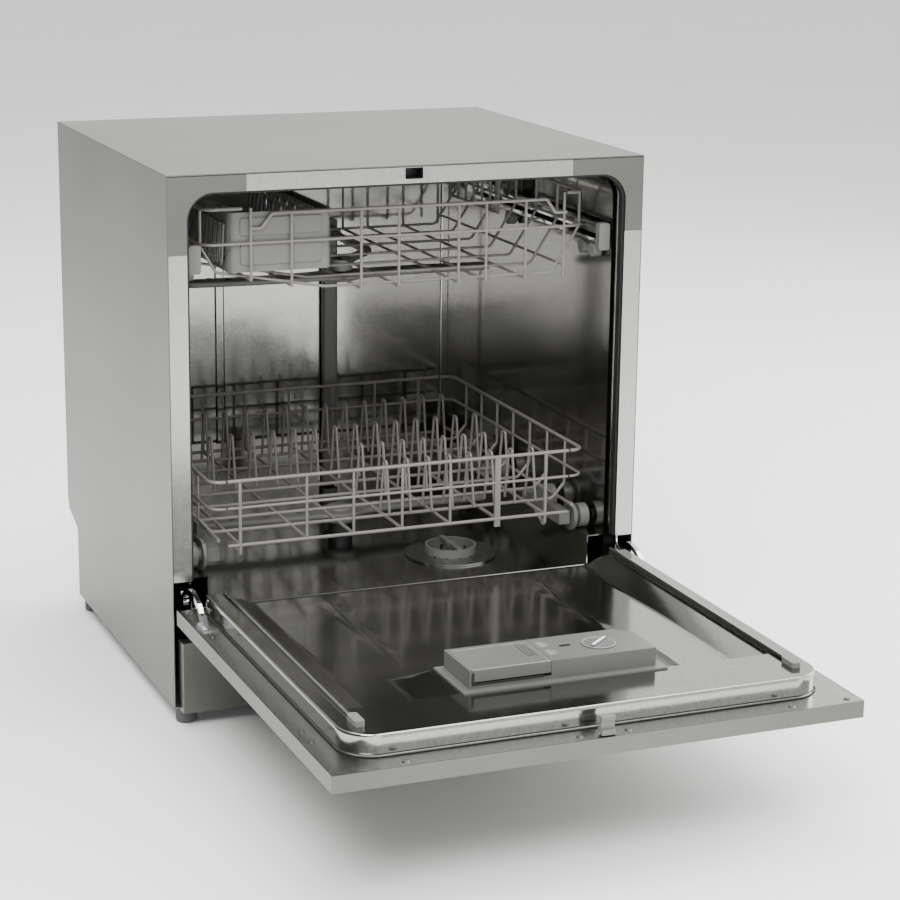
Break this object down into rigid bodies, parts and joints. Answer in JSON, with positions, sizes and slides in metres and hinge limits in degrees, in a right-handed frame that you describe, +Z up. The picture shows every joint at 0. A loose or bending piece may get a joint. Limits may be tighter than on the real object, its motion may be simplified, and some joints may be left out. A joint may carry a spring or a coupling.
{
  "type": "compact dishwasher",
  "caption": "Compact free-standing dishwasher with a drop-down door, two sliding wire racks, two spray arms and a detergent dispenser.",
  "frame": {"origin": "on the floor under the middle of the machine with its door open", "axes": "+X to the machine's right seen from its front, +Y from the door to the back, +Z up"},
  "size_m": [0.55, 0.9928, 0.601],
  "materials": {
    "brushed_casing": "brushed stainless steel with a fine grain",
    "plain_steel": "bright rolled stainless steel",
    "tub_steel": "polished stainless pressing",
    "galvanised": "zinc coated steel sheet",
    "bright_chrome": "chrome plated steel",
    "grey_plastic": "moulded polypropylene, satin grey",
    "dark_plastic": "black moulded plastic",
    "white_plastic": "natural white moulded plastic",
    "black_rubber": "extruded synthetic rubber",
    "coated_wire": "steel wire with a grey nylon coat",
    "key_steel": "brushed button caps"
  },
  "bodies": {
    "cabinet": {"side_panel_left": "brushed_casing", "side_panel_right": "brushed_casing", "top_panel": "brushed_casing", "rear_panel": "galvanised", "base_tray": "galvanised", "plinth": "brushed_casing", "front_frame": "plain_steel", "corner_plates": "brushed_casing", "tub_wrapper": "tub_steel", "tub_back": "tub_steel", "tub_floor": "tub_steel", "door_gasket": "black_rubber", "latch_catch": "dark_plastic", "rail_guides": "grey_plastic", "filter_plate": "plain_steel", "riser_duct": "grey_plastic", "sump": "dark_plastic", "wash_pump": "dark_plastic", "drain_pump": "white_plastic", "inlet_valve": "white_plastic", "drain_spigot": "dark_plastic", "power_box": "white_plastic", "cable_gland": "dark_plastic", "hinge_brackets": "bright_chrome", "feet": "black_rubber", "cabinet_screws": "plain_steel"},
    "filter_cup": {"filter_cup": "grey_plastic"},
    "door": {"door_outer_panel": "brushed_casing", "door_flange": "plain_steel", "door_liner": "tub_steel", "control_fascia": "dark_plastic", "hinge_arms": "bright_chrome", "dispenser_body": "grey_plastic", "door_tracks": "plain_steel", "track_stops": "grey_plastic", "door_screws": "plain_steel"},
    "power_button": {"button_power": "key_steel"},
    "programme_button": {"button_programme": "key_steel"},
    "start_button": {"button_start": "key_steel"},
    "latch_hook": {"latch_hook": "grey_plastic"},
    "detergent_lid": {"detergent_lid": "grey_plastic"},
    "rinse_cap": {"rinse_cap": "grey_plastic"},
    "upper_rails": {"upper_rails": "bright_chrome", "rail_caps": "grey_plastic"},
    "upper_rack": {"upper_rack_floor": "coated_wire", "upper_rack_walls": "coated_wire", "cutlery_tray": "grey_plastic", "upper_feed_pipe": "grey_plastic"},
    "cup_shelf": {"cup_shelf": "coated_wire"},
    "upper_spray_arm": {"upper_spray_arm": "grey_plastic"},
    "upper_rollers": {"upper_rollers": "grey_plastic"},
    "lower_rack": {"lower_rack_floor": "coated_wire", "lower_rack_walls": "coated_wire", "lower_tines": "coated_wire", "wheel_carriers": "grey_plastic"},
    "wheels_front": {"wheels_front": "grey_plastic"},
    "wheels_second": {"wheels_second": "grey_plastic"},
    "wheels_third": {"wheels_third": "grey_plastic"},
    "wheels_rear": {"wheels_rear": "grey_plastic"},
    "lower_spray_arm": {"lower_spray_arm": "grey_plastic"}
  },
  "joints": [
    {"name": "filter_turn", "type": "hinge", "parent": "cabinet", "child": "filter_cup", "pos_m": [0.095, 0.13, 0.122], "axis": [0, 0, 1], "range_deg": [0, 60]},
    {"name": "door_hinge", "type": "hinge", "parent": "cabinet", "child": "door", "pos_m": [0, -0.01, 0.113], "axis": [-1, 0, 0], "range_deg": [0, 90]},
    {"name": "power_press", "type": "slide", "parent": "door", "child": "power_button", "axis": [0, 0, 1], "range_m": [0, 0.0015], "stiffness_N_per_m": 600},
    {"name": "programme_press", "type": "slide", "parent": "door", "child": "programme_button", "axis": [0, 0, 1], "range_m": [0, 0.0015], "stiffness_N_per_m": 600},
    {"name": "start_press", "type": "slide", "parent": "door", "child": "start_button", "axis": [0, 0, 1], "range_m": [0, 0.0015], "stiffness_N_per_m": 600},
    {"name": "latch_swing", "type": "hinge", "parent": "door", "child": "latch_hook", "pos_m": [0, -0.489, 0.137], "axis": [-1, 0, 0], "range_deg": [0, 6], "stiffness_Nm_per_rad": 0.6},
    {"name": "lid_hinge", "type": "hinge", "parent": "door", "child": "detergent_lid", "pos_m": [0, -0.3317, 0.1759], "axis": [-1, 0, 0], "range_deg": [0, 95]},
    {"name": "rinse_turn", "type": "hinge", "parent": "door", "child": "rinse_cap", "pos_m": [0.051, -0.362, 0.175], "axis": [0, 0, 1], "range_deg": [0, 90]},
    {"name": "upper_rack_slide", "type": "slide", "parent": "cabinet", "child": "upper_rack", "axis": [0, 1, 0], "range_m": [-0.313, 0]},
    {"name": "rail_slide", "type": "slide", "parent": "cabinet", "child": "upper_rails", "axis": [0, 1, 0], "range_m": [-0.1723, 0.0003]},
    {"name": "cup_shelf_fold", "type": "hinge", "parent": "upper_rack", "child": "cup_shelf", "pos_m": [0.206, 0, 0.502], "axis": [0, -1, 0], "range_deg": [0, 88]},
    {"name": "upper_arm_spin", "type": "hinge", "parent": "upper_rack", "child": "upper_spray_arm", "pos_m": [0, 0.25, 0.44], "axis": [0, 0, 1], "continuous": true},
    {"name": "upper_rollers_turn", "type": "hinge", "parent": "upper_rack", "child": "upper_rollers", "pos_m": [0, 0.295, 0.53], "axis": [1, 0, 0], "range_deg": [-5, 1000]},
    {"name": "lower_rack_slide", "type": "slide", "parent": "cabinet", "child": "lower_rack", "axis": [0, 1, 0], "range_m": [-0.339, 0]},
    {"name": "lower_arm_spin", "type": "hinge", "parent": "cabinet", "child": "lower_spray_arm", "pos_m": [0, 0.25, 0.15], "axis": [0, 0, 1], "continuous": true},
    {"name": "front_wheels_turn", "type": "hinge", "parent": "lower_rack", "child": "wheels_front", "pos_m": [0, 0.077, 0.171], "axis": [1, 0, 0], "range_deg": [-5, 1400]},
    {"name": "second_wheels_turn", "type": "hinge", "parent": "lower_rack", "child": "wheels_second", "pos_m": [0, 0.167, 0.171], "axis": [1, 0, 0], "range_deg": [-5, 1400]},
    {"name": "third_wheels_turn", "type": "hinge", "parent": "lower_rack", "child": "wheels_third", "pos_m": [0, 0.31, 0.171], "axis": [1, 0, 0], "range_deg": [-5, 1400]},
    {"name": "rear_wheels_turn", "type": "hinge", "parent": "lower_rack", "child": "wheels_rear", "pos_m": [0, 0.4, 0.171], "axis": [1, 0, 0], "range_deg": [-5, 1400]}
  ],
  "couplings": [
    {"joint": "rail_slide", "follows": "upper_rack_slide", "ratio": 0.54952},
    {"joint": "upper_rollers_turn", "follows": "upper_rack_slide", "rad_per_m": -50.053},
    {"joint": "front_wheels_turn", "follows": "lower_rack_slide", "rad_per_m": -71.429},
    {"joint": "second_wheels_turn", "follows": "lower_rack_slide", "rad_per_m": -71.429},
    {"joint": "third_wheels_turn", "follows": "lower_rack_slide", "rad_per_m": -71.429},
    {"joint": "rear_wheels_turn", "follows": "lower_rack_slide", "rad_per_m": -71.429}
  ]
}
